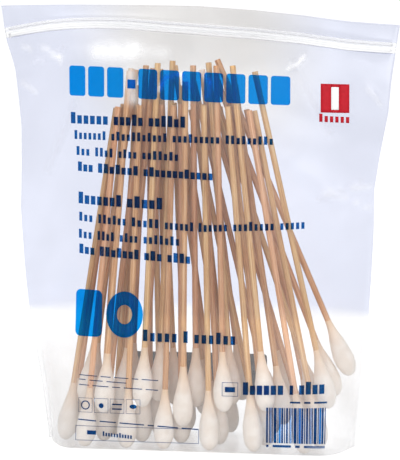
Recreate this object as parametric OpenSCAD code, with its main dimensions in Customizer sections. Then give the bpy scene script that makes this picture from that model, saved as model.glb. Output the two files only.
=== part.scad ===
// Press-to-close film bag that stands on its opened-out bottom, holding fifty cotton swabs.
// Each swab is a wooden stick with cotton wound on one end. The swabs stand heads down in
// four rows. Every row is a fan in its own leaning plane, so no two sticks meet.

/* [Swabs] */
// Length of a swab, from the cut end of the stick to the tip of the cotton
swab_l = 150; // [144:1:156]
// Diameter of the wooden stick
stick_d = 2.6; // [2.3:0.1:2.8]
// Greatest diameter of the cotton head
head_d = 9.2; // [8.4:0.1:9.8]
// Length of the cotton head, with its taper
head_l = 27; // [24:1:30]
// Height of the head's widest place above its tip
belly_h = 8; // [7:0.5:9]
// Thickness of the cotton where it ends on the stick
collar_t = 0.15; // [0.1:0.05:0.3]
// Length of cotton past the stick's end
tip_pad = 3; // [2:0.5:5]

/* [Bundle] */
// Free gap between neighbouring pieces
gap = 0.3; // [0.2:0.05:0.4]
// Spread of the feet along the longest row
base_spread = 122; // [116:1:126]
// Spread of the stick ends along the front row
top_spread = 56; // [50:1:60]
// Shift of the stick ends to the left
top_shift = 4.5; // [0:0.5:7]
// Height that the highest nested heads ride above the bottom ones
lift_max = 19; // [14:0.5:20]
// Number that picks one natural scatter of the swabs
scatter = 11; // [1:1:40]

/* [Bag] */
// Width of the empty bag across its side seals
bag_w = 173; // [168:1:182]
// Thickness of the film
film_t = 0.15; // [0.1:0.05:0.25]
// Width of the welded strip along each side
seal_w = 2; // [1.5:0.5:3]
// Play between the film and the swabs that it covers
cover_play = 0.3; // [0.2:0.1:0.8]
// Free height between the highest stick end and the closure
headroom = 11; // [8:1:16]
// Height of the lip above the closure
lip_h = 8; // [6:0.5:12]
// Gap between the two lips at their top edge
lip_gap = 1.4; // [0.8:0.2:2.4]
// Radius of the turn from the bottom into the walls
heel_r = 3.5; // [2.5:0.5:4.5]
// Free width between the bundle and each side seal at the bottom
side_room = 3; // [2:0.5:6]
// Straight part of the flare of the sides, from 0 to 1
flare = 0.62; // [0.4:0.02:0.9]
// Bulge of the sides at mid height, as a share of the flare
bulge = 0.22; // [0:0.02:0.3]
// Height over which the walls narrow from the heads to the sticks
narrow_h = 40; // [36:2:60]
// Droop of the right end of the closure below the left end
droop = 6; // [0:0.5:6]
// Depth of the waves in the empty parts of the film
wave_h = 2.2; // [0:0.2:3]

/* [Closure] */
// Height of one closure rib
rib_h = 1.1; // [0.9:0.1:1.4]
// Distance from one rib to the next
rib_pitch = 2.2; // [2:0.1:3]
// Thickness of each closure track at a rib
rib_t = 1.0; // [0.8:0.1:1.4]
// Reach of each rib into the channel opposite
rib_bite = 0.45; // [0.3:0.05:0.5]
// Play between the two closure tracks
track_play = 0.3; // [0.2:0.05:0.4]

/* [Hidden] */
$fn = 32;
head_r = head_d / 2;
stick_r = stick_d / 2;
collar_r = stick_r + collar_t;

// Rows of swabs from front to back: how many stand in each, and the number of the first
row_count = [11, 14, 14, 11];
row_start = [0, 11, 25, 39];
row_total = len(row_count);
swab_total = 50;
// How far each row reaches at its feet and at its stick ends, as shares of the spreads
row_base_share = [0.8, 1, 1.14, 0.8];
row_top_share = [0.92, 1, 0.72, 0.86];
// Shift of each row's feet to the right
row_shift = [-1, 0, 9, 0];
// The last heads of one inner row climb up the side, by these shares of lift_max
climb = [0.65, 1.1, 1.6];
climb_row = 2;
// Least lift of a nested head, as a share of lift_max
least_lift = 0.4;

// One number from 0 to 1 for each swab, for its lift and for the room at its foot and end
scatter_lift = rands(0, 1, swab_total, scatter);
scatter_base = rands(0, 1, swab_total, scatter + 100);
scatter_top = rands(0, 1, swab_total, scatter + 200);

floor_z = film_t + gap;
ref_z = floor_z + swab_l + lift_max;
top_pitch = stick_d + gap;
// Distance between rows at their stick ends, and at the floor so that nested heads clear
row_gap_top = top_pitch + 0.1;
nest_share = (floor_z + lift_max + belly_h) / ref_z;
row_gap_base = ((head_d + gap) * 1.01 - row_gap_top * nest_share) / (1 - nest_share);

function lerp(a, b, t) = a + (b - a) * t;
function clamp(v) = min(1, max(0, v));
function smooth(t) = let (c = clamp(t)) c * c * (3 - 2 * c);
function sum_to(list, n) = n <= 0 ? 0 : list[n - 1] + sum_to(list, n - 1);
function swab_name(i) = str("swab_", i < 9 ? "0" : "", i + 1);

// Radius of a swab at a height above the tip of its head
function head_radius(h) =
    h < belly_h ? head_r * sqrt(1 - pow(1 - h / belly_h, 2)) :
    lerp(head_r, collar_r, (1 - cos(180 * (h - belly_h) / (head_l - belly_h))) / 2);
function swab_radius(h) = h <= 0 ? 0 : h < head_l ? head_radius(h) : stick_r;

// Height that swab k of row r rides above the bottom
function lift(r, k) =
    let (step = k - row_count[r] + len(climb))
    r == climb_row && step >= 0 ? lift_max * climb[step] :
    k % 2 == 1 ? lift_max * lerp(least_lift, 1, scatter_lift[row_start[r] + k]) : 0;

// Stick ends of row r, from left to right on the plane z = ref_z
function tops(r) =
    let (n = row_count[r] - 1,
         spare = max(0, top_spread * row_top_share[r] - n * top_pitch),
         share = [for (k = [0 : n - 1]) pow(scatter_top[row_start[r] + k], 2) + 0.1],
         total = sum_to(share, n))
    [for (k = [0 : n])
        -top_shift - top_spread / 2 + k * top_pitch + spare * sum_to(share, k) / total];

// Free distance between two swabs of one row, each given as [foot, stick end, lift]
function free_gap(a, b) =
    let (ua = [a[1] - a[0], ref_z] / norm([a[1] - a[0], ref_z]),
         ub = [b[1] - b[0], ref_z] / norm([b[1] - b[0], ref_z]),
         pa = [a[0], 0] + ua * (floor_z + a[2]) / ua[1],
         pb = [b[0], 0] + ub * (floor_z + b[2]) / ub[1])
    min([for (h = [0 : b[2] + 2 * head_l])
        let (p = pa + ua * h, k = (p - pb) * ub)
        norm(p - pb - ub * k) - swab_radius(h) - swab_radius(k)]);

// Step from the foot of swab a to the next foot that leaves the free gap, found by trial
function foot_step(a, top, rise, step, tries = 5) =
    tries == 0 ? step :
    let (short = gap - free_gap(a, [a[0] + step, top, rise]))
    foot_step(a, top, rise, step + short * 1.1, tries - 1);
function next_step(r, k, foot, top) =
    foot_step([foot, top[k], lift(r, k)], top[k + 1], lift(r, k + 1), head_r);

// Swabs of row r as [foot, stick end, lift]. Neighbours nest in pairs, with the spare room
// between the pairs.
function row_swabs(r) =
    let (n = row_count[r] - 1,
         top = tops(r),
         span = base_spread * row_base_share[r],
         start = row_shift[r] - span / 2,
         least = [for (k = [0 : n - 1]) next_step(r, k, start + span * k / n, top)],
         spare = max(0, span - sum_to(least, n)),
         nested = r == climb_row ? n - len(climb) : n,
         share = [for (k = [0 : n])
             k % 2 == 0 || k >= nested ? 0 : lerp(0.25, 1, scatter_base[row_start[r] + k])],
         total = sum_to(share, n))
    [for (k = 0, foot = start; k <= n;
          foot = k < n ? foot + next_step(r, k, foot, top) + spare * share[k] / total : foot,
          k = k + 1)
        [foot, top[k], lift(r, k)]];

function row_y(r, z) = (r - (row_total - 1) / 2) * lerp(row_gap_base, row_gap_top, z / ref_z);

// Every swab as [foot on z = 0, end on z = ref_z, lift]
swabs = [for (r = [0 : row_total - 1], s = row_swabs(r))
    [[s[0], row_y(r, 0), 0], [s[1], row_y(r, ref_z), ref_z], s[2]]];

module stick() {
    color("burlywood")
        translate([0, 0, tip_pad])
            cylinder(d = stick_d, h = swab_l - tip_pad);
}

// The wound cotton, turned from its outline. It grips the stick with no gap.
module head() {
    turn = 6;
    taper = 8;
    color("white")
        rotate_extrude()
            polygon(concat(
                [[0, 0]],
                [for (k = [1 : turn])
                    let (a = 90 * k / turn) [head_r * sin(a), belly_h * (1 - cos(a))]],
                [for (k = [1 : taper])
                    let (h = lerp(belly_h, head_l, k / taper)) [head_radius(h), h]],
                [[0, head_l]]));
}

module swab(i) {
    foot = swabs[i][0];
    way = swabs[i][1] - foot;
    translate(foot + way * (floor_z + swabs[i][2]) / ref_z)
        rotate([0, acos(way[2] / norm(way)), atan2(way[1], way[0])]) {
            stick();
            head();
        }
}

// Reach of a list of swabs to the right and to the left at height z
function stretch(s) = norm(s[1] - s[0]) / ref_z;
function side_reach(s, z, side) =
    side * lerp(s[0][0], s[1][0], z / ref_z) + swab_radius(z - floor_z - s[2]) * stretch(s);
function reach(list, z, side) =
    max([for (s = list) if (z > floor_z + s[2]) side_reach(s, z, side)]);
outer_swabs = [for (i = [0 : swab_total - 1])
    if (i < row_start[1] || i >= row_start[row_total - 1]) swabs[i]];

stick_end_z = stick_r + max([for (s = swabs) floor_z + s[2] + swab_l / stretch(s)]);
zip_z = stick_end_z + headroom;
lip_z = zip_z + rib_pitch + rib_h;
bag_top = lip_z + lip_h;

// Half width of the bag inside its seals, from the foot of the bundle to the full width
belly_z = floor_z + belly_h;
foot_half = side_room + max(reach(swabs, belly_z, 1), reach(swabs, belly_z, -1));
function half_width(z) =
    let (s = z / bag_top)
    lerp(foot_half, bag_w / 2 - seal_w, lerp(pow(s, 5), s, flare) + bulge * sin(180 * s));

// Depth of the bag's inside over the middle of the bundle. It narrows from the heads to the
// sticks, and closes above them.
narrow_from = floor_z + lift_max + belly_h;
close_from = stick_end_z + droop;
function narrowing(z) = clamp((z - narrow_from) / narrow_h);
function cover(z) =
    row_y(row_total - 1, min(z, stick_end_z)) + gap + cover_play +
    lerp(head_r, stick_r, narrowing(z));
function closing(h) = smooth((h - close_from) / (zip_z - close_from));

// Share of that depth at place x: full over the outer rows, and none at the side seals.
// The wall is round by the heads, and runs nearly straight to the seal higher up, by these
// exponents of the curve.
round_curve = [2.4, 0.5];
straight_curve = [1.1, 1.15];
function side_share(x, z) =
    let (side = x < 0 ? -1 : 1,
         from = reach(outer_swabs, z, side),
         t = clamp((side * x - from) / (half_width(z) - from)),
         curve = lerp(round_curve, straight_curve, smooth(narrowing(z))))
    pow(1 - pow(t, curve[0]), curve[1]);

// Waves of the empty film, front and back walls together. They start beyond the bundle, at a
// share of the half width, and grow over the middle of the bag's height.
wave_l = 118;
wave_rise = 150;
wave_phase = 30;
calm = 0.4;
wave_from = bag_top * 0.25;
wave_to = bag_top * 0.6;
function wave(x, z) =
    let (side = clamp((abs(x + top_shift) / half_width(z) - calm) / (1 - calm)),
         rise = smooth((z - wave_from) / (wave_to - wave_from)))
    wave_h * rise * max(side * side, closing(z)) *
        sin(360 * (x / wave_l + z / wave_rise) + wave_phase);

// Droop of the right end, at nominal height h
droop_from = bag_top * 0.5;
droop_to = bag_top * 0.9;
function sag(x, h) =
    droop * smooth(x / bag_w + 0.5) * smooth((h - droop_from) / (droop_to - droop_from));

// Closure: two ribs on the front track reach into two channels of the back track
track_step = 0.2;
web = track_play / 2 + film_t;
rib_profile = [for (n = [0, 1], s = [[0, 0], [track_step, 1], [rib_h - track_step, 1], [rib_h, 0]])
    [zip_z + n * rib_pitch + s[0], s[1]]];
function rib(h) = lookup(h, rib_profile);

// Half of the free space between the walls at place x and height z, h before the droop
function half_space(x, z, h) =
    h < zip_z ? max(track_play / 2, lerp(cover(z) * side_share(x, z), 0, closing(h))) :
    lerp(track_play, lip_gap, pow(clamp((h - lip_z) / lip_h), 2)) / 2;

// Rows of the film from the bottom to the lips, each as [height, turn of the bottom edge],
// and columns from seal to seal, closer together towards the seals
columns = 32;
heel_turns = 3;
body_rows = 21;
wall_h = zip_z - track_step - heel_r;
lip_rows = 3;
film_rows = concat(
    [for (k = [0 : heel_turns]) [heel_r, 90 * k / heel_turns]],
    [for (k = [1 : body_rows]) [heel_r + wall_h * k / body_rows, 90]],
    [for (p = rib_profile) [p[0], 90]],
    [for (k = [1 : lip_rows]) [lip_z + lip_h * k / lip_rows, 90]]);
film_grid = [for (row = film_rows) [for (j = [0 : columns])
    let (x = half_width(row[0]) * sin(90 * (2 * j / columns - 1)), z = row[0] - sag(x, row[0]))
    [x, z, j == 0 || j == columns ? 0 : half_space(x, z, row[0])]]];

// A point of the film. side is 0 on the inner face and 1 on the outer one, and wall is -1 for
// the front and 1 for the back.
function film_point(k, j, side, wall) =
    let (p = film_grid[k][j],
         h = film_rows[k][0],
         turn = film_rows[k][1],
         edge = j == 0 || j == columns,
         run = edge ? [1, 0] : [for (c = [0, 2]) film_grid[k][j + 1][c] - film_grid[k][j - 1][c]],
         out = [-run[1], run[0]] / norm(run),
         radius = heel_r - (1 - side) * film_t,
         tuck = radius * (1 - sin(turn)) * clamp(2 * p[2] / cover(heel_r)),
         track = edge ? 0 : (rib_t - web) * rib(h),
         move = side * (film_t + track) - (edge ? 0 : tuck),
         channel = edge ? 0 : (1 - side) * rib_bite * rib(h))
    [p[0] + out[0] * move,
     wave(p[0], p[1]) + wall * (p[2] + out[1] * move) + channel,
     turn < 90 ? heel_r - radius * cos(turn) : p[1]];
function weld_edge(k, end, wall) =
    film_point(k, end < 0 ? 0 : columns, 1, wall) + [end * seal_w, 0, 0];

// Triangles between two lists of point numbers, without those that have no area
function strip(a, b) = [for (i = [0 : len(a) - 2],
    f = [[a[i], b[i], b[i + 1]], [a[i], b[i + 1], a[i + 1]]])
    if (f[0] != f[1] && f[1] != f[2] && f[2] != f[0]) f];
function turned(faces) = [for (f = faces) [f[2], f[1], f[0]]];

module bag() {
    last = len(film_rows) - 1;
    outer = [for (k = [0 : last]) concat(
        [weld_edge(k, -1, -1)],
        [for (j = [0 : columns]) film_point(k, j, 1, -1)],
        [weld_edge(k, 1, -1), weld_edge(k, 1, 1)],
        [for (j = [columns : -1 : 0]) film_point(k, j, 1, 1)],
        [weld_edge(k, -1, 1)])];
    inner = [for (k = [0 : last]) concat(
        [for (j = [0 : columns]) film_point(k, j, 0, -1)],
        [for (j = [columns - 1 : -1 : 1]) film_point(k, j, 0, 1)])];
    outer_n = len(outer[0]);
    inner_n = len(inner[0]);
    inner_start = outer_n * (last + 1);
    // Point numbers of the closed rings, and of their front and back halves
    outer_ring = [for (k = [0 : last]) [for (i = [0 : outer_n]) k * outer_n + i % outer_n]];
    inner_ring = [for (k = [0 : last])
        [for (i = [0 : inner_n]) inner_start + k * inner_n + i % inner_n]];
    half_n = outer_n / 2;
    outer_front = [for (i = [0 : half_n - 1]) outer_ring[0][i]];
    outer_back = [for (i = [0 : half_n - 1]) outer_ring[0][outer_n - 1 - i]];
    inner_front = [for (i = [0 : columns]) inner_ring[0][i]];
    inner_back = [for (i = [0 : columns]) inner_ring[0][inner_n - i]];
    // The inner ring of the lips, with its ends repeated to meet the seals
    lip_ring = [for (i = [0 : outer_n])
        inner_ring[last][i < half_n ? min(columns, max(0, i - 1)) :
            min(inner_n, max(columns, i - 4))]];
    color("lavender", 0.4)
        polyhedron(
            points = concat([for (ring = outer) each ring], [for (ring = inner) each ring]),
            faces = concat(
                [for (k = [0 : last - 1]) each strip(outer_ring[k], outer_ring[k + 1])],
                [for (k = [0 : last - 1]) each turned(strip(inner_ring[k], inner_ring[k + 1]))],
                strip(outer_back, outer_front),
                strip(inner_front, inner_back),
                strip(outer_ring[last], lip_ring)),
            convexity = 10);
}

bag();
for (i = [0 : swab_total - 1])
    swab(i);
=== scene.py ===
"""Looks of a clear press-to-close bag that holds fifty cotton swabs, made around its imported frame.

The file follows the pack as it is filled: the sticks and their cotton, the film bag, its closure,
the print on both its walls, and then the floor, the lights and the camera. All sizes are in
metres, unless a list or a function says that its numbers are in millimetres.
"""

import math

import bpy
import numpy as np
from mathutils import Euler, Matrix, Vector, noise


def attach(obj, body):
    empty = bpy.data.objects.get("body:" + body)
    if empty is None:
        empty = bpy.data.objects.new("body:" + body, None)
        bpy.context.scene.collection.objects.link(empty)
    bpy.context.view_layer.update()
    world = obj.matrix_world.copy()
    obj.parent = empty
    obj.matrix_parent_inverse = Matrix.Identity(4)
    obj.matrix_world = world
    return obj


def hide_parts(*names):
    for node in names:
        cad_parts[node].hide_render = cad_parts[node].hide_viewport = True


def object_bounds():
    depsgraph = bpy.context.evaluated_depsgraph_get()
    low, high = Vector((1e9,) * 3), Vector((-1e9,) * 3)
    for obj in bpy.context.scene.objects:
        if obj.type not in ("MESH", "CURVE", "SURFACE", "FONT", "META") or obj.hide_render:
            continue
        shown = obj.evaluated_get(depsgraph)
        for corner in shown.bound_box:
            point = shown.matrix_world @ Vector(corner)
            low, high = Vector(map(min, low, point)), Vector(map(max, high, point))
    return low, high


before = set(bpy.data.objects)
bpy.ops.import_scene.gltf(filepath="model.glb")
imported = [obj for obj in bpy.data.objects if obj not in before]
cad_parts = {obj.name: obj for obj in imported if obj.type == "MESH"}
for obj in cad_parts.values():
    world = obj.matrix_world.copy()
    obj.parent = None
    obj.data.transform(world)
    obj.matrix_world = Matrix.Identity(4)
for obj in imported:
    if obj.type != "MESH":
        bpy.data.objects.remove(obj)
cad_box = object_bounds()
bpy.ops.object.select_all(action="DESELECT")
mm = 0.001


# Swabs. Each is a turned birch stick, sawn off square at its upper end, with a drop of cotton
# wound on its lower end. They stand head down in the bag, each on the axis that the frame gives.
swab_nodes = sorted(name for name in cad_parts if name.startswith("swab_"))
rng = np.random.default_rng(7)


def mesh_points(obj):
    co = np.empty(len(obj.data.vertices) * 3)
    obj.data.vertices.foreach_get("co", co)
    return co.reshape(-1, 3)


def swab_axis(node):
    """The tip of the cotton and the middle of the stick's cut end, from the frame's own solid."""
    co = np.unique(mesh_points(node).round(7), axis=0)
    centre = co.mean(axis=0)
    along = np.linalg.svd(co - centre, full_matrices=False)[2][0]
    along *= np.sign(along[2])
    height = (co - centre) @ along
    tip = co[height < height.min() + 0.02 * mm].mean(axis=0)
    end = co[height > height.max() - 0.1 * mm].mean(axis=0)
    return Vector(tip), Vector(end)


axes = {name: swab_axis(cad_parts[name]) for name in swab_nodes}
swab_l = sum((end - tip).length for tip, end in axes.values()) / len(axes)


def place_on_axis(obj, name, spin):
    """Puts a piece that was modelled upright from the origin on a swab's axis, in its mesh."""
    tip, end = axes[name]
    turn = Vector((0, 0, 1)).rotation_difference(end - tip).to_matrix().to_4x4()
    obj.data.transform(Matrix.Translation(tip) @ turn @ Matrix.Rotation(spin, 4, "Z"))


def keep_own_place(obj, shift, tone):
    """Stores where each point is on the upright piece, and the piece's own tone, for its material."""
    own = mesh_points(obj) + shift
    grain = obj.data.attributes.new("own_place", "FLOAT_VECTOR", "POINT")
    grain.data.foreach_set("vector", own.astype(np.float32).ravel())
    tones = obj.data.attributes.new("tone", "FLOAT", "POINT")
    tones.data.foreach_set("value", np.full(len(own), tone, np.float32))


def nodes_of(owner):
    """Clears the nodes of a material or world, and returns a short way to add and join new ones."""
    owner.use_nodes = True
    tree = owner.node_tree
    tree.nodes.clear()

    def add(kind, *links, **values):
        node = tree.nodes.new("ShaderNode" + kind)
        for key, value in values.items():
            if hasattr(node, key):
                setattr(node, key, value)
            else:
                node.inputs[key.replace("_", " ")].default_value = value
        for socket, source in links:
            tree.links.new(source, node.inputs[socket])
        return node

    return add


def new_material(name):
    """A material without nodes, and the short way to add them."""
    mat = bpy.data.materials.new(name)
    return mat, nodes_of(mat)


def select_edges(obj, wanted):
    """Leaves obj in edit mode with only the edges selected whose two ends pass the test."""
    bpy.ops.object.mode_set(mode="EDIT")
    bpy.ops.mesh.select_mode(type="EDGE")
    bpy.ops.mesh.select_all(action="DESELECT")
    bpy.ops.object.mode_set(mode="OBJECT")
    for edge in obj.data.edges:
        a, b = (obj.data.vertices[i].co for i in edge.vertices)
        edge.select = wanted(a, b)
    bpy.ops.object.mode_set(mode="EDIT")


# The stick: a rod of birch that starts inside the cotton, its upper rim broken a little by the saw
stick_d = 2.6 * mm
stick_from = 6 * mm
rim_bevel = 0.18 * mm
bpy.ops.mesh.primitive_cylinder_add(
    vertices=18, radius=stick_d / 2, depth=swab_l - stick_from, location=(0, 0, (swab_l + stick_from) / 2)
)
stick = bpy.context.object
bpy.ops.object.transform_apply(location=True, rotation=False, scale=False)
select_edges(stick, lambda a, b: abs(a.z - b.z) > swab_l / 2)
bpy.ops.mesh.subdivide(number_cuts=14)
bpy.ops.object.mode_set(mode="OBJECT")
select_edges(stick, lambda a, b: min(a.z, b.z) > swab_l - 0.1 * mm)
bpy.ops.mesh.bevel(offset=rim_bevel, segments=2)
bpy.ops.object.mode_set(mode="OBJECT")

birch, add = new_material("birch")
own = add("Attribute", attribute_name="own_place").outputs["Vector"]
tone = add("Attribute", attribute_name="tone").outputs["Fac"]
fibres = add("Mapping", ("Vector", own), Scale=(1, 1, 0.022))
streak = add("TexNoise", ("Vector", fibres.outputs["Vector"]), Scale=1700, Detail=5, Roughness=0.6)
wide_fibres = add("Mapping", ("Vector", own), Scale=(1, 1, 0.12))
band = add("TexNoise", ("Vector", wide_fibres.outputs["Vector"]), Scale=210)
blend = add("MapRange", ("Value", streak.outputs["Fac"]), From_Min=0.34, From_Max=0.68)
wood = add("ValToRGB", ("Fac", blend.outputs["Result"]))
ramp = wood.color_ramp
ramp.elements[0].color = (0.52, 0.25, 0.092, 1)
ramp.elements[1].color = (0.86, 0.61, 0.36, 1)
ramp.elements.new(0.5).color = (0.755, 0.452, 0.222, 1)
tones = add("ValToRGB", ("Fac", tone))
ramp = tones.color_ramp
ramp.elements[0].color = (0.82, 0.72, 0.63, 1)
ramp.elements[1].color = (1.0, 1.0, 0.86, 1)
ramp.elements.new(0.3).color = (1.0, 0.86, 0.86, 1)
ramp.elements.new(0.65).color = (0.92, 0.90, 0.76, 1)
multiply = {"data_type": "RGBA", "blend_type": "MULTIPLY"}
mixed = add("Mix", (6, wood.outputs["Color"]), (7, tones.outputs["Color"]), Factor=1, **multiply)
bands = add("ValToRGB", ("Fac", band.outputs["Fac"]))
bands.color_ramp.elements[0].position = 0.35
bands.color_ramp.elements[0].color = (0.72, 0.62, 0.55, 1)
bands.color_ramp.elements[1].position = 0.65
dull = add("Mix", (6, mixed.outputs[2]), (7, bands.outputs["Color"]), Factor=0.35, **multiply)
height = add("Bump", ("Height", streak.outputs["Fac"]), Strength=0.35, Distance=0.00012)
shader = add(
    "BsdfPrincipled", ("Base Color", dull.outputs[2]), ("Normal", height.outputs["Normal"]), Roughness=0.58
)
add("OutputMaterial", ("Surface", shader.outputs["BSDF"]))

# The cotton: wound to a drop, widest near its tip, and thin where it ends on the stick. It has
# faint ridges from its winding and soft hollows.
head_l = 27 * mm
head_d = 9.2 * mm
belly = 8 * mm
collar_d = 2.9 * mm
bpy.ops.mesh.primitive_uv_sphere_add(segments=32, ring_count=26, radius=1)
cotton = bpy.context.object
turns, ridges, ridge_depth = 1.4, 5, 0.012
end_crowding = 1 / 14
for v in cotton.data.vertices:
    share = math.acos(max(-1, min(1, -v.co.z))) / math.pi
    rise = head_l * (share - end_crowding * math.sin(2 * math.pi * share))
    if rise < belly:
        radius = head_d / 2 * math.sqrt(max(0, 1 - (1 - rise / belly) ** 2))
    else:
        slope = (1 - math.cos(math.pi * (rise - belly) / (head_l - belly))) / 2
        radius = head_d / 2 + (collar_d - head_d) / 2 * slope
    if share > 0.999:
        radius = 0
    angle = math.atan2(v.co.y, v.co.x)
    ridge = math.sin(ridges * angle + 2 * math.pi * turns * rise / head_l * ridges)
    radius *= 1 - ridge_depth * (1 - ridge) * math.sin(math.pi * share)
    v.co = (radius * math.cos(angle), radius * math.sin(angle), rise)

wool, add = new_material("wound_cotton")
own = add("Attribute", attribute_name="own_place").outputs["Vector"]
tone = add("Attribute", attribute_name="tone").outputs["Fac"]
threads = add("TexNoise", ("Vector", own), Scale=1900, Detail=6, Roughness=0.7, Distortion=1.6)
tufts = add("TexNoise", ("Vector", own), Scale=260, Detail=3)
relief = add("Math", (0, threads.outputs["Fac"]), (1, tufts.outputs["Fac"]), operation="ADD")
height = add("Bump", ("Height", relief.outputs["Value"]), Strength=0.55, Distance=0.0004)
hue = add("ValToRGB", ("Fac", tufts.outputs["Fac"]))
hue.color_ramp.elements[0].position = 0.3
hue.color_ramp.elements[0].color = (0.83, 0.73, 0.635, 1)
hue.color_ramp.elements[1].position = 0.62
hue.color_ramp.elements[1].color = (0.90, 0.825, 0.745, 1)
rise = add("Attribute", attribute_name="rise").outputs["Fac"]
thin = add("MapRange", ("Value", rise), From_Min=0.5, From_Max=1.0, To_Max=0.95)
stained = add("Mix", ("Factor", thin.outputs["Result"]), (6, hue.outputs["Color"]), data_type="RGBA")
stained.inputs[7].default_value = (0.78, 0.53, 0.32, 1)
shader = add(
    "BsdfPrincipled",
    ("Base Color", stained.outputs[2]),
    ("Normal", height.outputs["Normal"]),
    Roughness=0.95,
    Sheen_Weight=0.25,
    Sheen_Roughness=0.6,
)
add("OutputMaterial", ("Surface", shader.outputs["BSDF"]))

# Each swab is turned its own way, and each head has its own lumps, as shares of its radius
lump_scale, lumps_apart = 170, 9
lump_depth, thinner_by = 0.05, 0.035
swab_pieces = []
for number, name in enumerate(swab_nodes, 1):
    spin = rng.uniform(0, 2 * math.pi)
    shift = rng.uniform(-1, 1, 3)
    tone = rng.uniform(0, 1)
    rod = bpy.data.objects.new(f"stick_{number:02d}", stick.data.copy())
    drop = bpy.data.objects.new(f"cotton_{number:02d}", cotton.data.copy())
    rises = drop.data.attributes.new("rise", "FLOAT", "POINT")
    rises.data.foreach_set("value", (mesh_points(drop)[:, 2] / head_l).astype(np.float32))
    for v in drop.data.vertices:
        side = Vector((v.co.x, v.co.y, 0))
        lump = noise.noise(v.co * lump_scale + Vector(shift) * lumps_apart)
        v.co -= side * (thinner_by + lump_depth * lump) * min(1, side.length / mm)
    for piece, finish, look in ((rod, birch, "swab"), (drop, wool, "cotton")):
        bpy.context.collection.objects.link(piece)
        keep_own_place(piece, shift, tone)
        place_on_axis(piece, name, spin)
        piece.data.materials.append(finish)
        piece.data.shade_smooth()
        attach(piece, "root")
        swab_pieces.append(piece)
    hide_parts(name)
    bpy.context.view_layer.objects.active = rod
    rod.select_set(True)
    bpy.ops.object.shade_smooth_by_angle(angle=math.radians(35))
    rod.select_set(False)
for master in (stick, cotton):
    bpy.data.objects.remove(master)


# The film bag. Two walls of clear film are welded to each other along both sides, and stand on
# their opened-out bottom. The film lies on the outer sticks and heads and spans between them.
film_t = 0.15 * mm
seal_w = 2 * mm
lip_h = 8 * mm
closure_h = 3.3 * mm
bag_h = cad_box[1].z
bag_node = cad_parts["bag"]
columns = 190
bag_points = mesh_points(bag_node)
bag_edges = np.empty(len(bag_node.data.edges) * 2, int)
bag_node.data.edges.foreach_get("vertices", bag_edges)
bag_edges = bag_points[bag_edges.reshape(-1, 2)]


def cut_points(axis, level):
    """Points where the frame's bag crosses the plane on which axis (0 to 2) has that level."""
    a, b = bag_edges[:, 0], bag_edges[:, 1]
    met = (a[:, axis] - level) * (b[:, axis] - level) < 0
    a, b = a[met], b[met]
    return a + (b - a) * ((level - a[:, axis]) / (b - a)[:, axis])[:, None]


heel_rows = np.array([0.02, 0.15, 0.4, 0.8, 1.3, 2.0, 2.8, 3.6, 4.6]) * mm
closure_from = bag_h - lip_h - closure_h
low_rows = np.linspace(6.2, 148, 62) * mm
high_rows = np.linspace(149.5 * mm, closure_from - 0.7 * mm, 22)
body_rows = np.concatenate([low_rows, high_rows])
closure_rows = np.linspace(closure_from - 0.35 * mm, closure_from + closure_h + 0.35 * mm, 15)
lip_rows = np.linspace(closure_from + closure_h + mm, bag_h - 0.01 * mm, 7)
heights = np.concatenate([heel_rows, body_rows, closure_rows, lip_rows])

places = np.linspace(cad_box[0].x + 0.2 * mm, cad_box[1].x - 0.2 * mm, 40)
droops = np.array([bag_h - cut_points(0, x)[:, 2].max() for x in places])
droop_from, droop_rise = 0.5, 0.4


def eased(share):
    share = np.clip(share, 0, 1)
    return share * share * (3 - 2 * share)


def frame_droop(x, h):
    """How far the frame's bag hangs lower at x than at its left end, more from half its height."""
    return np.interp(x, places, droops) * eased((h / bag_h - droop_from) / droop_rise)


# The closure is stiff and bows up in the middle, and the bag's sides pull in where it is empty.
# Between the lips and the body the closure sags at its left end and rises beside it. Each list
# has the place, and then how far, in millimetres.
bow_x, bow_z = np.array(
    [(-86, 0), (-40, -1.2), (0, -2.4), (25, -1.9), (45, -0.7), (65, 1.4), (86, 2.8)]
).T * mm
sag_left = [(-86, 2.3), (-80, 1.2), (-73, 0.1), (-65, -1.0)]
sag_rise = [(-56, -1.8), (-44, -2.2), (-32, -2.0), (-18, -1.0), (0, 0)]
sag_x, sag_z = np.array(sag_left + sag_rise).T * mm
left_h, left_in = np.array(
    [(25, 0), (62, -1.6), (104, -1.3), (118, 0), (140, 1.8), (165, 1.8), (180, 0)]
).T * mm
right_h, right_in = np.array(
    [(30, 0), (62, 2.0), (95, 2.8), (114, 3.8), (130, 2.4), (152, 0), (180, 0)]
).T * mm
bow_from, bow_rise = 164 * mm, 16 * mm


def droop(x, h):
    """How far the film hangs lower at x than the frame's left end, with its own bends."""
    bow = np.interp(x, bow_x, bow_z) + np.interp(x, sag_x, sag_z) * eased((bag_h - h) / lip_h)
    return frame_droop(x, h) + bow * eased((h - bow_from) / bow_rise)


# The columns of points lie a little closer toward both sides
crowded = 0.45
spread = np.linspace(0, 1, columns - 4)
spread = (1 - crowded) * spread + crowded * (1 - np.cos(np.pi * spread)) / 2
x_grid, z_grid, frame_z = [], [], []
for h in heights:
    left = cut_points(2, h)[:, 0].min() + np.interp(h, left_h, left_in)
    right = cut_points(2, h - frame_droop(cad_box[1].x, h))[:, 0].max() - np.interp(h, right_h, right_in)
    inner = left + seal_w + (right - left - 2 * seal_w) * spread
    x = np.concatenate([[left, left + seal_w / 2], inner, [right - seal_w / 2, right]])
    x_grid.append(x)
    z_grid.append(h - droop(x, h))
    frame_z.append(h - frame_droop(x, h))
x_grid, z_grid, frame_z = np.array(x_grid), np.array(z_grid), np.array(frame_z)


ray_start = 0.2


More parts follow.
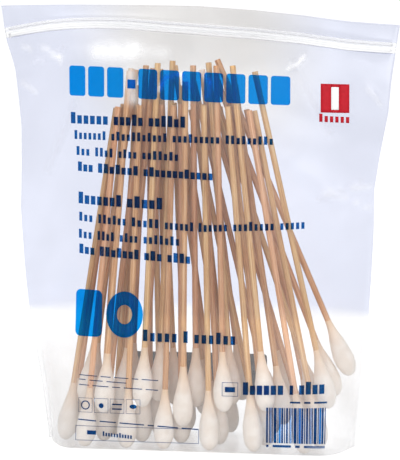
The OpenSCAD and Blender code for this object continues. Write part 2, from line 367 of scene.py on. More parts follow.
def seen_from(obj, side, z):
    """Depth at which each grid point meets an object, looking from the front (-1) or back (1)."""
    y = np.full(x_grid.shape, np.nan)
    for index, x in np.ndenumerate(x_grid):
        hit, place, *_ = obj.ray_cast((x, side * ray_start, z[index]), (0, -side, 0))
        if hit:
            y[index] = place.y
    return y


def fill_row_ends(y):
    """Takes the depth beside it for a point that the ray missed at the bag's edge."""
    for row in y:
        known = ~np.isnan(row)
        row[~known] = np.interp(np.flatnonzero(~known), np.flatnonzero(known), row[known])
    return y


bpy.ops.object.select_all(action="DESELECT")
bundle = bpy.data.objects.new("bundle", bpy.data.meshes.new("bundle"))
bpy.context.collection.objects.link(bundle)
for piece in swab_pieces:
    twin = piece.copy()
    twin.data = piece.data.copy()
    bpy.context.collection.objects.link(twin)
    twin.parent = None
    twin.select_set(True)
bundle.select_set(True)
bpy.context.view_layer.objects.active = bundle
bpy.ops.object.join()
bundle.select_set(False)
bpy.context.view_layer.update()

walls = {side: fill_row_ends(seen_from(bag_node, side, frame_z)) for side in (-1, 1)}
middle = (walls[-1] + walls[1]) / 2
strip = np.zeros(x_grid.shape, bool)
strip[:, :3] = strip[:, -3:] = True
free = np.zeros(x_grid.shape, bool)
free[len(heel_rows) : len(heel_rows) + len(body_rows), 3:-3] = True
ridge_rows = slice(len(heel_rows) + len(body_rows), len(heel_rows) + len(body_rows) + len(closure_rows))
middle_column = columns // 2
for side, wall in walls.items():
    ridges = wall[ridge_rows, middle_column] - middle[ridge_rows, middle_column].mean()
    bend = middle[ridge_rows, 3:-3].mean(axis=0)
    wall[ridge_rows, 3:-3] = bend + ridges[:, None]
# Each wall then settles like a stretched skin: it evens out, mostly from side to side, holds a
# little to its first shape, and stops at the swabs
side_pull = 0.42
shape_hold = 0.004
film_gap, seal_gap = 0.1 * mm, 0.01 * mm
settle_steps = 420
for side, wall in walls.items():
    wall[strip] = middle[strip] + side * (film_t + seal_gap)
    first = wall.copy()
    touch = seen_from(bundle, side, z_grid) + side * (film_t + film_gap)
    for _ in range(settle_steps):
        flat = side_pull * (np.roll(wall, 1, 1) + np.roll(wall, -1, 1))
        flat += (0.5 - side_pull) * (np.roll(wall, 1, 0) + np.roll(wall, -1, 0))
        flat += shape_hold * (first - flat)
        flat = np.fmax(flat, touch) if side > 0 else np.fmin(flat, touch)
        wall[free] = flat[free]
bpy.data.objects.remove(bundle)


def near_stroke(x0, z0, x1, z1, width):
    """How far along a stroke each point of the film is, and how many half widths off it. In mm."""
    run = np.array([x1 - x0, z1 - z0]) * mm
    px, pz = x_grid - x0 * mm, z_grid - z0 * mm
    along = np.clip((px * run[0] + pz * run[1]) / (run @ run), 0, 1)
    return along, np.hypot(px - along * run[0], pz - along * run[1]) / (width * mm)


# Creases of the empty film, as (x, z) of each end, half width and height, in millimetres
front_creases = [
    (-82, 174, -72, 170, 1.3, 0.6),
    (-70, 177, -58, 171, 1.5, -0.6),
    (-66, 172, -60, 168, 1.1, 0.5),
    (-80, 160, -70, 153, 1.8, 0.7),
    (-62, 176, -14, 178, 2.6, -0.5),
    (-48, 166, -16, 167, 6.0, 0.25),
    (-48, 173, -30, 175, 1.6, 0.4),
    (-78, 122, -70, 116, 1.6, 0.6),
    (-74, 140, -66, 96, 4.5, -0.7),
    (39, 165, 44, 170, 1.5, 0.8),
    (44, 170, 47, 172, 1.3, 0.7),
    (53, 114, 65, 111, 1.6, 0.9),
    (58, 118, 64, 106, 1.5, -0.7),
    (66, 114, 74, 115.5, 0.9, 0.6),
    (67, 108, 76, 104.5, 1.1, 0.7),
    (61, 99, 66, 103, 1.3, 0.5),
    (40, 127, 74, 103, 4.0, 0.8),
    (30, 150, 70, 136, 5.0, -0.6),
    (73, 158, 80, 150, 1.6, 0.7),
    (62, 88, 70, 66, 2.4, 0.7),
]
back_creases = [
    (-76, 168, -60, 176, 1.8, 0.7),
    (-70, 110, -50, 160, 3.0, 0.8),
    (-60, 130, -72, 90, 2.2, -0.7),
    (-10, 178, 10, 150, 3.0, 0.8),
    (12, 172, 30, 178, 1.8, 0.6),
    (40, 170, 60, 130, 2.6, 0.8),
    (74, 118, 48, 108, 1.8, -0.9),
    (30, 140, 66, 90, 3.2, 0.7),
    (60, 174, 78, 168, 1.6, 0.6),
]
# They fade out toward the seals, the full foot and the closure
seal_fade, closure_fade = 6 * mm, 4 * mm
foot_full, foot_fade = 40 * mm, 30 * mm
across = np.clip(np.minimum(x_grid - x_grid[:, :1], x_grid[:, -1:] - x_grid) / seal_fade, 0, 1)
upward = np.clip((z_grid - foot_full) / foot_fade, 0, 1)
upward *= np.clip((closure_from - z_grid) / closure_fade, 0, 1)
for side, creases in ((-1, front_creases), (1, back_creases)):
    for *stroke, depth in creases:
        along, off = near_stroke(*stroke)
        fade = np.sin(np.pi * np.clip(along, 0.08, 0.92))
        walls[side] += side * across * upward * depth * mm * fade * np.exp(-off * off)

# Milky strokes where the film is folded or strained, which are also painted highlights of glare and glints
# on its folds, the first a painted glare patch: both ends, half width, and strength
front_strain_and_glare = [
    (-43, 173, -28, 173.4, 3.4, 0.62),
    (-27, 174, -14, 172.5, 2.2, 0.22),
    (-77, 175, -74, 174, 1.0, 0.18),
    (-68, 174.6, -66, 174, 1.0, 0.25),
    (-64, 171.6, -60, 170.4, 1.1, 0.3),
    (-61, 171, -60, 168, 0.9, 0.18),
    (-78, 159, -72, 155, 1.1, 0.15),
    (-29, 164, -28, 153, 2.4, 0.34),
    (-16, 157, -13, 162.5, 1.0, 0.34),
    (-13, 162.5, -6, 163.5, 0.8, 0.36),
    (-6, 163.5, -3, 158, 0.9, 0.3),
    (2, 165, 6, 160, 1.1, 0.34),
    (6, 160, 5, 154, 0.9, 0.26),
    (39.5, 166.2, 43, 167.4, 0.9, 0.4),
    (44.3, 168.8, 46, 171, 0.9, 0.4),
    (55, 112.6, 64, 110.6, 1.2, 0.15),
    (67, 114.4, 74, 115, 0.9, 0.16),
    (68, 108, 75, 105, 0.9, 0.14),
    (73, 157, 79, 150, 1.1, 0.12),
]
back_strain_and_glare = [
    (-72, 168, -60, 174, 1.4, 0.2),
    (-68, 120, -56, 150, 1.6, 0.12),
    (40, 168, 56, 138, 1.6, 0.12),
    (70, 116, 52, 108, 1.4, 0.15),
]
strain_and_glare_places = {}
for side, strokes in ((-1, front_strain_and_glare), (1, back_strain_and_glare)):
    strain_and_glare_places[side] = np.zeros(x_grid.shape)
    for *stroke, strength in strokes:
        along, off = near_stroke(*stroke)
        strain_and_glare_places[side] += strength * np.exp(-off * off)
levels = np.repeat(heights[:, None], columns, axis=1)


def sheet_of(name, x, y, z, level, milk_and_glare, backness):
    """A grid of film, its points given row by row with their height, milkiness with painted glare, and
    wall.
    """
    rows, cols = x.shape
    bpy.ops.mesh.primitive_grid_add(x_subdivisions=cols - 1, y_subdivisions=rows - 1, size=2)
    obj = bpy.context.object
    obj.name = name
    at = mesh_points(obj)
    col = np.rint((at[:, 0] + 1) / 2 * (cols - 1)).astype(int)
    row = np.rint((at[:, 1] + 1) / 2 * (rows - 1)).astype(int)
    obj.data.vertices.foreach_set("co", np.stack([g[row, col] for g in (x, y, z)], axis=1).ravel())
    for key, grid in (("level", level), ("milk_and_glare", milk_and_glare), ("backness", backness)):
        kept = obj.data.attributes.new(key, "FLOAT", "POINT")
        kept.data.foreach_set("value", grid[row, col].astype(np.float32))
    return obj


def with_hems(front, back):
    """The front's columns with the back's outermost ones beside them, so that the sides close."""
    return np.concatenate([back[:, :1], front, back[:, -1:]], axis=1)


front_grids = (x_grid, walls[-1], z_grid, levels, strain_and_glare_places[-1], np.zeros(x_grid.shape))
back_grids = (x_grid, walls[1], z_grid, levels, strain_and_glare_places[1], np.ones(x_grid.shape))
front = sheet_of("front", *(with_hems(g, h) for g, h in zip(front_grids, back_grids)))
back = sheet_of("back", *back_grids)
foot = sheet_of("foot", *(np.stack([g[0], h[0]]) for g, h in zip(front_grids, back_grids)))
bpy.ops.object.select_all(action="DESELECT")
for part in (back, foot, front):
    part.select_set(True)
bpy.context.view_layer.objects.active = front
bpy.ops.object.join()
film = bpy.context.object
film.name = "film_bag"
bpy.ops.object.mode_set(mode="EDIT")
bpy.ops.mesh.select_mode(type="FACE")
bpy.ops.mesh.select_all(action="SELECT")
bpy.ops.mesh.remove_doubles(threshold=0.001 * mm)
bpy.ops.mesh.normals_make_consistent(inside=False)
bpy.ops.object.mode_set(mode="OBJECT")
outer_face = film.copy()
outer_face.data = film.data.copy()
outer_face.name = "print_guide"
bpy.context.collection.objects.link(outer_face)
thick = film.modifiers.new("wall", "SOLIDIFY")
thick.thickness = film_t
thick.offset = -1
bpy.ops.object.modifier_apply(modifier="wall")
film.data.shade_smooth()

clear_film, add = new_material("clear_film")
link = clear_film.node_tree.links.new


def ramped(source, start, end, low=0.0, high=1.0, how="LINEAR"):
    """A value that runs from low to high while source runs from start to end."""
    span = {"From_Min": start, "From_Max": end, "To_Min": low, "To_Max": high}
    return add("MapRange", ("Value", source), interpolation_type=how, **span).outputs["Result"]


def worked(kind, value, other):
    """A value added to another, multiplied by it and so on, which may be a plain number."""
    node = add("Math", (0, value), operation=kind)
    if isinstance(other, float):
        node.inputs[1].default_value = other
    else:
        link(other, node.inputs[1])
    return node.outputs["Value"]


def blended(share, none, full):
    """A colour between two, each of which is given plainly or comes from another node."""
    node = add("Mix", ("Factor", share), data_type="RGBA")
    for socket, colour in ((6, none), (7, full)):
        if isinstance(colour, tuple):
            node.inputs[socket].default_value = colour
        else:
            link(colour, node.inputs[socket])
    return node.outputs[2]


spot = add("TexCoord").outputs["Object"]
place = add("SeparateXYZ", ("Vector", spot)).outputs
cloud = add("TexNoise", ("Vector", spot), Scale=38, Detail=2).outputs["Fac"]
crinkle = add("TexNoise", ("Vector", spot), Scale=150, Detail=3, Distortion=0.8).outputs["Fac"]
# Its colour: a cool tint above, painted shade for the darker backdrop seen through the film, next
# to none below, for the brightly lit floor behind, and over the stick ends a neutral grey, a painted
# dim reflection. The back wall has the greater part of both, so that the swabs keep their own colour
# in front of it
backdrop_shade_share = ramped(place["Z"], 56.2 * mm, 61.8 * mm, how="SMOOTHSTEP")
off_centre = add("Math", (0, place["X"]), operation="ABSOLUTE").outputs["Value"]
central = ramped(off_centre, 20 * mm, 62 * mm, 1, 0, how="SMOOTHSTEP")
# Painted dim reflection: a darker neutral grey over the stick ends, strongest in the middle and high up
painted_dim_share = worked("MULTIPLY", central, ramped(place["Z"], 120 * mm, 165 * mm, how="SMOOTHSTEP"))
wall_share = add("Attribute", attribute_name="backness").outputs["Fac"]
painted_backdrop_tint = blended(wall_share, (0.940, 0.944, 0.965, 1), (0.900, 0.912, 0.959, 1))
painted_dim_colour = blended(wall_share, (0.950, 0.946, 0.944, 1), (0.910, 0.904, 0.900, 1))
shade = blended(painted_dim_share, blended(backdrop_shade_share, (0.99, 0.99, 0.992, 1), painted_backdrop_tint), painted_dim_colour)
# Its closure: the welded-on tracks make it white, in one thin band above a thick one. This white is partly
# the milky tracks and partly a painted highlight of their ribs
level = add("Attribute", attribute_name="level").outputs["Fac"]
track = ramped(level, closure_from - 0.9 * mm, closure_from + closure_h + 0.6 * mm)
tracks = add("ValToRGB", ("Fac", track))
ramp = tracks.color_ramp
ramp.elements[0].color = ramp.elements[1].color = (0, 0, 0, 1)
track_milk_and_highlight_steps = ((0.08, 0.76), (0.50, 0.80), (0.57, 0.34), (0.69, 0.34), (0.75, 0.60), (0.88, 0.52))
for at, white in track_milk_and_highlight_steps:
    ramp.elements.new(at).color = (white, white, white, 1)
# Painted highlight: the white fades toward the middle, so that the ribs' ends look brighter, as if they
# caught the light
track_milk_and_highlight = worked("MULTIPLY", tracks.outputs["Color"], ramped(central, 0, 1, 1, 0.55))
# Painted fold shade: soft noise darkens the film's tint a little in patches, as the shading of soft folds
waves = add("TexNoise", ("Vector", spot), Scale=24, Detail=3, Distortion=0.6)
painted_fold_shade = ramped(waves.outputs["Fac"], 0.35, 0.65, 0.98, 1)
fold_shaded = add("VectorMath", ("Vector", shade), ("Scale", painted_fold_shade), operation="SCALE")
cleared = blended(tracks.outputs["Color"], fold_shaded.outputs["Vector"], (0.985, 0.985, 0.99, 1))
# Its milkiness: slight everywhere, more near the bottom and most at the lower sides
everywhere = 0.008
foot_haze = ramped(place["Z"], 20 * mm, 58 * mm, 0.068, 0)
side_in = ramped(off_centre, 42 * mm, 66 * mm, how="SMOOTHSTEP")
side_haze = worked("MULTIPLY", side_in, ramped(place["Z"], 35 * mm, 66 * mm, 0.09, 0))
patchy = worked("MULTIPLY", worked("ADD", foot_haze, side_haze), ramped(cloud, 0.3, 0.7, 0.5, 1.4))
# Painted highlights: the strokes' milkiness, partly strain whitening and partly painted glare and glints,
# is added here, and the closure's white with its painted rib highlights is taken where it is greater
strain_and_glare_share = add("Attribute", attribute_name="milk_and_glare").outputs["Fac"]
strain_and_glare_share = worked("MULTIPLY", strain_and_glare_share, ramped(crinkle, 0.35, 0.65, 0.75, 1.1))
haze_and_highlight_share = worked("ADD", worked("ADD", patchy, everywhere), strain_and_glare_share)
haze_and_highlight_share = worked("MAXIMUM", haze_and_highlight_share, track_milk_and_highlight)
# Its gloss: more at a slant, with soft ripples that stop at the closure
relief = add("Math", (0, crinkle), (2, cloud), operation="MULTIPLY_ADD")
relief.inputs[1].default_value = 0.12
calm = ramped(tracks.outputs["Color"], 0, 0.1, 1, 0)
calmed = worked("MULTIPLY", relief.outputs["Value"], calm)
ripple = add("Bump", ("Height", calmed), Strength=0.3, Distance=0.002).outputs["Normal"]
slant = add("LayerWeight", ("Normal", ripple), Blend=0.5)
shine = ramped(worked("POWER", slant.outputs["Facing"], 4.5), 0, 1, 0.016, 0.6)
through = add("BsdfTransparent", ("Color", cleared))
haze_and_glare_white = add("BsdfDiffuse", ("Normal", ripple), Color=(0.98, 0.98, 0.98, 1))
gloss = add("BsdfGlossy", ("Normal", ripple), Roughness=0.27, Color=(1, 1, 1, 1))
haze_and_glare_mix = add("MixShader", ("Fac", haze_and_highlight_share), (1, through.outputs["BSDF"]), (2, haze_and_glare_white.outputs["BSDF"]))
whole = add("MixShader", ("Fac", shine), (1, haze_and_glare_mix.outputs["Shader"]), (2, gloss.outputs["BSDF"]))
add("OutputMaterial", ("Surface", whole.outputs["Shader"]))
film.data.materials.clear()
film.data.materials.append(clear_film)
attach(film, "root")
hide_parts("bag")


# The closure. Inside the film, right across the bag, two beads on the front track are pressed
# into two channels of the back track. All are extruded from the same soft plastic.
bead_pitch = 2.2 * mm
centre_row = len(heel_rows) + len(body_rows) + len(closure_rows) // 2


def closure_bar(name, rise, depth, height, offset):
    """A bar of plastic across the bag, rise above the closure's lower edge, bent with the film."""
    length = cad_box[1].x - cad_box[0].x - 2 * seal_w - 2 * mm
    bpy.ops.mesh.primitive_cube_add(size=1, scale=(length, depth, height))
    bar = bpy.context.object
    bar.name = name
    bpy.ops.object.transform_apply(location=False, rotation=False, scale=True)
    select_edges(bar, lambda a, b: abs(a.x - b.x) > length / 2)
    bpy.ops.mesh.bevel(offset=min(depth, height) * 0.3, segments=3)
    bpy.ops.object.mode_set(mode="OBJECT")
    select_edges(bar, lambda a, b: abs(a.x - b.x) > length / 2)
    bpy.ops.mesh.subdivide(number_cuts=60)
    bpy.ops.object.mode_set(mode="OBJECT")
    for v in bar.data.vertices:
        h = closure_from + rise
        bend = np.interp(v.co.x, x_grid[centre_row], middle[centre_row])
        v.co.y += bend + offset
        v.co.z += h - droop(v.co.x, h)
    return bar


bars = [closure_bar("flange", -0.62 * mm, 0.12 * mm, 1.2 * mm, 0)]
for n in range(2):
    rise = 0.55 * mm + n * bead_pitch
    bars.append(closure_bar(f"stem_{n}", rise, 0.9 * mm, 0.22 * mm, -0.44 * mm))
    bars.append(closure_bar(f"bead_{n}", rise, 0.5 * mm, 0.4 * mm, 0.22 * mm))
    bars.append(closure_bar(f"jaw_low_{n}", rise - 0.34 * mm, 1.0 * mm, 0.12 * mm, 0.35 * mm))
    bars.append(closure_bar(f"jaw_high_{n}", rise + 0.34 * mm, 1.0 * mm, 0.12 * mm, 0.35 * mm))
    bars.append(closure_bar(f"web_{n}", rise, 0.12 * mm, 0.78 * mm, 0.86 * mm))
bpy.ops.object.select_all(action="DESELECT")
for bar in bars:
    bar.select_set(True)
bpy.context.view_layer.objects.active = bars[0]
bpy.ops.object.join()
closure = bpy.context.object
closure.name = "closure_tracks"
milk, add = new_material("closure_plastic")
shader = add(
    "BsdfPrincipled",
    Base_Color=(0.93, 0.93, 0.95, 1),
    Roughness=0.28,
    IOR=1.5,
)
clear = add("BsdfTransparent", Color=(0.95, 0.95, 0.97, 1))
blend = add("MixShader", (1, clear.outputs["BSDF"]), (2, shader.outputs["BSDF"]), Fac=0.6)
add("OutputMaterial", ("Surface", blend.outputs["Shader"]))
closure.data.materials.append(milk)
closure.data.shade_smooth()
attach(closure, "root")


# The print. Thin ink on the outside of both walls: greeked lines and plain shapes stand where a
# pack like this has its words. Each shape is cut flat and then laid on the film.
ink_lift = 0.03 * mm
ink_t = 0.02 * mm


def lay_on_film(name, shapes, finish, side=-1, lift=ink_lift):
    """Joins flat shapes, drawn in x and z, and drops them on the front wall (-1) or the back (1)."""
    bpy.ops.object.select_all(action="DESELECT")
    for shape in shapes:
        shape.select_set(True)
    bpy.context.view_layer.objects.active = shapes[0]
    bpy.ops.object.join()
    ink = bpy.context.object
    ink.name = name
    bpy.ops.object.mode_set(mode="EDIT")
    bpy.ops.mesh.select_all(action="SELECT")
    bpy.ops.mesh.normals_make_consistent(inside=False)
    bpy.ops.object.mode_set(mode="OBJECT")
    for v in ink.data.vertices:
        h = v.co.z
        z = h - float(droop(v.co.x, h))
        hit, place, *_ = outer_face.ray_cast((v.co.x, side * ray_start, z), (0, -side, 0))
        v.co = (v.co.x, place.y + side * lift, z)
    thick = ink.modifiers.new("ink", "SOLIDIFY")
    thick.thickness = ink_t
    thick.offset = 1
    bpy.ops.object.modifier_apply(modifier="ink")
    ink.data.shade_smooth()
    ink.data.materials.append(finish)
    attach(ink, "root")
    return ink


def bar(x, z, width, height, end_z=None, cell=1.5):
    """A flat upright bar from x, z to the right, its lower edge ending at end_z. In mm."""
    across, up = max(1, round(width / cell)), max(1, round(height / cell))
    bpy.ops.mesh.primitive_grid_add(
        x_subdivisions=across,
        y_subdivisions=up,
        size=mm,
        rotation=(math.pi / 2, 0, 0),
        location=((x + width / 2) * mm, 0, (z + height / 2) * mm),
    )
    shape = bpy.context.object
    shape.scale = (width, height, 1)
    bpy.ops.object.transform_apply(location=True, rotation=True, scale=True)
    fall = 0 if end_z is None else (end_z - z) / width
    for v in shape.data.vertices:
        v.co.z += (v.co.x - x * mm) * fall
    return shape


def rounded(x, z, width, height, corner=1.2):
    """A flat upright bar whose corners are cut round. In mm."""
    shape = bar(x, z, width, height, cell=corner / 3)
    mid_x, mid_z = (x + width / 2) * mm, (z + height / 2) * mm
    for v in shape.data.vertices:
        dx = abs(v.co.x - mid_x) - (width / 2 - corner) * mm
        dz = abs(v.co.z - mid_z) - (height / 2 - corner) * mm
        if dx > 0 and dz > 0:
            pull = corner * mm / math.hypot(dx, dz)
            if pull < 1:
                v.co.x -= math.copysign(dx * (1 - pull), v.co.x - mid_x)
                v.co.z -= math.copysign(dz * (1 - pull), v.co.z - mid_z)
    return shape


def disc(x, z, radius, hole=0.0, rings=3, tall=1.0):
    """A flat upright disc or ring about x, z. In mm."""
    bpy.ops.mesh.primitive_circle_add(
        vertices=36,
        radius=radius * mm,
        fill_type="NGON",
        rotation=(math.pi / 2, 0, 0),
        location=(x * mm, 0, z * mm),
    )
    shape = bpy.context.object
    bpy.ops.object.transform_apply(location=True, rotation=True, scale=True)
    bpy.ops.object.mode_set(mode="EDIT")
    bpy.ops.mesh.select_all(action="SELECT")
    step = (radius - hole) / rings
    for _ in range(rings):
        bpy.ops.mesh.inset(thickness=step * mm * 0.995, depth=0)
    if hole > 0:
        bpy.ops.mesh.delete(type="FACE")
    bpy.ops.object.mode_set(mode="OBJECT")
    for v in shape.data.vertices:
        v.co.z = z * mm + (v.co.z - z * mm) * tall
    return shape


def frame_box(x, z, width, height, line=0.35):
    """The four thin sides of an empty box. In mm."""
    return [
        bar(x, z, width, line),
        bar(x, z + height - line, width, line),
        bar(x, z + line, line, height - 2 * line),
        bar(x + width - line, z + line, line, height - 2 * line),
    ]


# Which blocks of a row are taller, by what share, and how wide a block and its gap are to its height
taller = (1, 0, 0, 1, 0, 1, 0, 0, 0, 1, 0, 0)
taller_by, block_pitch = 0.35, 0.8


def greeked(x, z, end_x, end_z, height, words, weight=0, space=1.8):
    """A line between two points, with the words' lengths in the given proportion.

    Each word is one bar, or with a weight a row of blocks that fill that share of the row.
    """
    total = sum(words) + space * (len(words) - 1)
    scale = (end_x - x) / total
    fall = (end_z - z) / (end_x - x)
    made = []
    for word in words:
        blocks = max(1, round(word * scale / height / block_pitch)) if weight else 1
        pitch = word * scale / blocks
        width = pitch * (weight or 1)
        for n in range(blocks):
            extra = taller_by * taller[(len(made) + n) % len(taller)] if weight else 0
            at = x + n * pitch
            low = z + n * pitch * fall
            made.append(bar(at, low, width, height * (1 + extra), low + width * fall))
        x += (word + space) * scale
        z += (word + space) * scale * fall
    return made


def clear_ink(name, tint, base, roughness, cover):
    """A material of ink that tints the light through it and covers a share of what is behind."""
    ink, add = new_material(name)
    clear = add("BsdfTransparent", Color=tint)
    solid = add("BsdfPrincipled", Base_Color=base, Roughness=roughness)
    both = add("MixShader", (1, clear.outputs["BSDF"]), (2, solid.outputs["BSDF"]), Fac=cover)
    add("OutputMaterial", ("Surface", both.outputs["Shader"]))
    return ink


def dense_ink(name, shades, **finish):
    """A material of ink that covers all, its faint mottle running through two placed shades."""
    ink, add = new_material(name)
    mottle = add("TexNoise", ("Vector", add("TexCoord").outputs["Object"]), Scale=700, Detail=2)
    colours = add("ValToRGB", ("Fac", mottle.outputs["Fac"]))
    for element, (at, shade) in zip(colours.color_ramp.elements, shades):
        element.position = at
        element.color = shade
    solid = add("BsdfPrincipled", ("Base Color", colours.outputs["Color"]), **finish)
    add("OutputMaterial", ("Surface", solid.outputs["BSDF"]))
    return ink


# Heading: a row of plain rounded blocks, with a small square after the third
head_x, head_z, head_h = -56.2, 154.4, 12.8
narrow, broad, block_gap = 7.3, 8.3, 1.25
square_in, square_up, square_w, square_h, square_room = 0.5, 4.3, 3.6, 3.9, 5.3
blocks = []
x = head_x
for n in range(10):
    width = narrow if n < 3 else broad
    blocks.append(rounded(x, head_z, width, head_h))
    x += width + block_gap
    if n == 2:
        blocks.append(bar(x + square_in, head_z + square_up, square_w, square_h))
        x += square_room
# Two large shapes lower down
blocks.append(rounded(-53.6, 49.6, 12.4, 20.2, corner=2.4))
blocks.append(disc(-31.2, 59.6, 8.2, 3.4, tall=1.22))
# Slim blue stripes, for the gaps in the field of upright dark stripes below
stripes = list(zip((2, 1, 1, 3, 1, 2, 1) * 3, (1, 2, 1, 1, 3, 1, 1) * 3))
stripe, stripes_from, stripes_z, stripes_h = 0.41, 31.3, 6, 15.2
x = stripes_from
for wide, gap in stripes:
    if gap > 1:
        blocks.append(bar(x + (wide + 0.5) * stripe, stripes_z, (gap - 1) * stripe, stripes_h, cell=4))
    x += (wide + gap) * stripe
azure = clear_ink("azure_ink", (0.0, 0.62, 0.95, 1), (0.0, 0.12, 0.50, 1), 0.35, 0.12)
lay_on_film("print_azure", blocks, azure)

# Two groups of four lines, as left and right end, height and lengths, and the small print below
lines = [
    (-55.7, 142.2, -4, 142.4, 3.7, (17, 13, 16), 0.72),
    (-54.1, 135.4, 34, 135.8, 2.9, (15, 25, 21, 21), 0.6),
    (-53.2, 128.4, -6.9, 127.2, 2.9, (6.6, 8.4, 8.4, 16), 0.6),
    (-52.6, 121.4, 7.9, 118.8, 3.1, (7.3, 18, 30), 0.74),
    (-52.4, 107.2, -13.9, 105.4, 3.8, (19.5, 15.7), 0.74),
    (-52.1, 99.6, -0.3, 96, 2.9, (7, 12.9, 12.5, 13), 0.6),
    (1.2, 95.9, 47.5, 97.4, 2.9, (12.9, 17.9, 10.8), 0.6),
    (-52.3, 92.1, -6.4, 89.7, 2.9, (6.6, 7.8, 8.2, 15.7), 0.6),
    (-52.1, 85.4, -1.8, 82, 3.1, (7.7, 17.7, 8.2, 10.4), 0.74),
    (-22.9, 48.4, 18.7, 47.6, 3.7, (16, 3, 19), 0.62),
    (21.1, 26.4, 56.7, 27.2, 4.0, (16, 1.8, 10), 0.76),
    (-51.2, 32.8, -16, 31.4, 0.36, (9, 5, 7, 3, 8)),
    (-51.2, 30.9, -30, 29.9, 0.36, (3, 6, 9)),
    (-51.2, 28.6, -16, 27.2, 0.36, (5, 8, 4, 9, 6)),
    (-51.5, 13.4, 1.7, 10.6, 0.5, (9, 8, 12, 3, 10, 8)),
    (-47.4, 7.2, -43.4, 7.2, 1.8, (4,)),
    (-40.4, 6.8, -27, 5.8, 1.5, (14,), 0.6),
    (41.5, 23.2, 57.2, 23, 0.8, (5, 3, 6)),
    (31.4, 4.2, 56.6, 4.2, 1.0, (1, 8, 2, 9)),
]
strokes = []
for line in lines:
    strokes += greeked(*line)
# Small boxes with a plain shape in each, and two that hold bars
box_x, box_z, box_w, box_pitch = -51.4, 16.8, 6.3, 7.1
mid_x = [box_x + n * box_pitch + box_w / 2 for n in range(4)]
mid_z = box_z + box_w / 2
for x in mid_x:
    strokes += frame_box(x - box_w / 2, box_z, box_w, box_w, line=0.16)
strokes.append(disc(mid_x[0], mid_z, 2.0, 1.5, rings=1))
strokes.append(disc(mid_x[1], mid_z, 1.1, rings=2))
strokes.append(bar(mid_x[2] - 2.25, mid_z - 1.55, 4.4, 0.6))
strokes.append(bar(mid_x[2] - 2.25, mid_z + 0.45, 4.4, 0.6))
strokes.append(disc(mid_x[3], mid_z, 1.6, rings=2, tall=0.6))
strokes += frame_box(12, 25.6, 7, 6, line=0.2)
strokes.append(bar(13.3, 27.4, 4.4, 2.2))
strokes += frame_box(-52.6, 4.6, 54.6, 6.4, line=0.2)
# A field of upright stripes, thin and thick in turn
x = stripes_from
for wide, gap in stripes:
    strokes.append(bar(x, stripes_z, wide * stripe, stripes_h, cell=4))
    x += (wide + gap) * stripe
navy = clear_ink("navy_ink", (0.10, 0.40, 0.68, 1), (0.006, 0.02, 0.14, 1), 0.35, 0.14)
lay_on_film("print_navy", strokes, navy)

# A red square around an upright white bar, with a row of small blocks under it
red_x, red_z, red_w, red_h = 53.2, 151.4, 12.2, 13.2
red_bar, edge_h = 3.2, 1.4
side_w = (red_w - red_bar) / 2
reds = [
    bar(red_x, red_z, side_w, red_h),
    bar(red_x + side_w + red_bar, red_z, side_w, red_h),
    bar(red_x + side_w, red_z + red_h - edge_h, red_bar, edge_h),
    bar(red_x + side_w, red_z, red_bar, edge_h),
]
reds += greeked(red_x - 0.6, red_z - 4.4, red_x + 13, red_z - 4.8, 2.9, (13,), 0.62)
crimson = dense_ink(
    "red_ink",
    ((0.3, (0.42, 0.004, 0.013, 1)), (0.7, (0.50, 0.006, 0.018, 1))),
    Roughness=0.5,
    Specular_IOR_Level=0.2,
)
lay_on_film("print_red", reds, crimson)
whites = [bar(red_x + side_w, red_z + edge_h, red_bar, red_h - 2 * edge_h)]
chalk = dense_ink("white_ink", ((0, (0.86, 0.86, 0.86, 1)), (1, (0.95, 0.95, 0.95, 1))), Roughness=0.4)
lay_on_film("print_white", whites, chalk)

# On the back, a dark panel behind the necks of the swabs, with pale lines, and a small box above
panel_x, panel_z, panel_w, panel_h = -37, 15, 64, 21.5
fields = [rounded(panel_x, panel_z, panel_w, panel_h, corner=1.5)]
fields += frame_box(5.5, 46, 4.6, 8, line=0.35)
fields.append(bar(7.2, 47.6, 1.2, 4.8))
slate = clear_ink("slate_ink", (0.20, 0.20, 0.22, 1), (0.10, 0.10, 0.115, 1), 0.45, 0.3)
lay_on_film("print_back", fields, slate, side=1)
margin, line_drop, line_pitch, last_shorter = 3, 5.3, 4.6, 22
pale_lines = []
for n, words in enumerate(((9, 6, 12, 8, 10), (12, 5, 9, 14), (6, 11, 8, 7, 9), (8, 13))):
    low = panel_z + panel_h - line_drop - n * line_pitch
    end = panel_x + panel_w - margin - last_shorter * (n == 3)
    pale_lines += greeked(panel_x + margin, low, end, low, 1.7, words, 0.6)
lay_on_film("print_back_lines", pale_lines, chalk, side=1, lift=ink_lift + 2 * ink_t)
bpy.data.objects.remove(outer_face)


# Studio: a pale floor, a white surround, and soft lamps.
bpy.ops.mesh.primitive_plane_add(size=12, location=(0, 3, 0))
floor = bpy.context.object
floor.name = "floor"


def seen_plainly(add):
    """1 for what the camera, gloss and clear pieces show, and 0 for what lights the bag."""
    path = add("LightPath").outputs
    seen = add("Math", (0, path["Is Camera Ray"]), (1, path["Is Glossy Ray"]), operation="MAXIMUM")
    seen = add("Math", (0, seen.outputs["Value"]), (1, path["Is Transmission Ray"]), operation="MAXIMUM")
    return seen.outputs["Value"]


pale, add = new_material("pale_floor")
lit = add("BsdfDiffuse", Color=(0.8, 0.8, 0.8, 1))
dim = add("BsdfDiffuse", Color=(0.42, 0.42, 0.42, 1))
glow = add("Emission", Color=(1, 1, 1, 1), Strength=0.81)
bright = add("AddShader", (0, dim.outputs["BSDF"]), (1, glow.outputs["Emission"]))
both = add("MixShader", ("Fac", seen_plainly(add)), (1, lit.outputs["BSDF"]), (2, bright.outputs["Shader"]))
add("OutputMaterial", ("Surface", both.outputs["Shader"]))
floor.data.materials.append(pale)

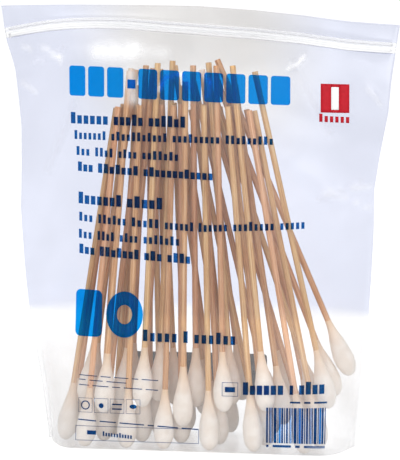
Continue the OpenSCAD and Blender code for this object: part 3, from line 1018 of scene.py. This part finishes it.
world = bpy.data.worlds.new("studio")
bpy.context.scene.world = world
add = nodes_of(world)
soft = add("Background", Color=(0.97, 0.98, 1, 1), Strength=0.62).outputs["Background"]
white = add("Background", Color=(1, 1, 1, 1), Strength=1).outputs["Background"]
pick = add("MixShader", ("Fac", seen_plainly(add)), (1, soft), (2, white))
add("OutputWorld", ("Surface", pick.outputs["Shader"]))


def soft_lamp(name, place, aim, width, height, power):
    """A rectangular softbox at place, turned to aim."""
    lamp = bpy.data.lights.new(name, "AREA")
    lamp.shape = "RECTANGLE"
    lamp.size, lamp.size_y, lamp.energy = width, height, power
    obj = bpy.data.objects.new(name, lamp)
    bpy.context.collection.objects.link(obj)
    obj.location = place
    obj.rotation_euler = (Vector(aim) - Vector(place)).to_track_quat("-Z", "Y").to_euler()
    return obj


soft_lamp("key_lamp", (-0.7, -1.5, 0.9), (0, 0, 0.1), 0.9, 0.6, 5.5)
soft_lamp("front_lamp", (0.2, -1.6, 0.4), (0, 0, 0.12), 1.0, 0.5, 7)
soft_lamp("fill_lamp", (1.1, -0.9, 0.7), (0, 0, 0.1), 0.7, 0.9, 4.5)
soft_lamp("top_lamp", (0, 0.1, 1.3), (0, 0, 0.1), 0.8, 0.8, 4)

# Camera: a long lens, a little above the bag and to its right, as in the photograph. The image is
# 460 pixels high, and a millimetre at the bag takes 2.29 of them.
view_from = math.radians(9)
view_up = math.radians(8.5)
view_dist = 0.875
view_roll = math.radians(-0.5)
image_h, px_per_mm = 460, 2.29
target = Vector((0, 0, 0.095))
back_way = Vector(
    (math.sin(view_from) * math.cos(view_up), -math.cos(view_from) * math.cos(view_up), math.sin(view_up))
)
cam_data = bpy.data.cameras.new("camera")
camera = bpy.data.objects.new("camera", cam_data)
bpy.context.collection.objects.link(camera)
camera.location = target + back_way * view_dist
camera.rotation_euler = (
    (-back_way).to_track_quat("-Z", "Y").to_matrix() @ Euler((0, 0, view_roll)).to_matrix()
).to_euler()
cam_data.sensor_width = 36
cam_data.lens = cam_data.sensor_width / image_h * px_per_mm * view_dist / mm
cam_data.clip_start = 0.01
bpy.context.scene.camera = camera

scene = bpy.context.scene
scene.view_settings.view_transform = "Standard"
scene.cycles.transparent_max_bounces = 32
scene.cycles.max_bounces = 12
scene.cycles.diffuse_bounces = 8

bpy.context.view_layer.update()
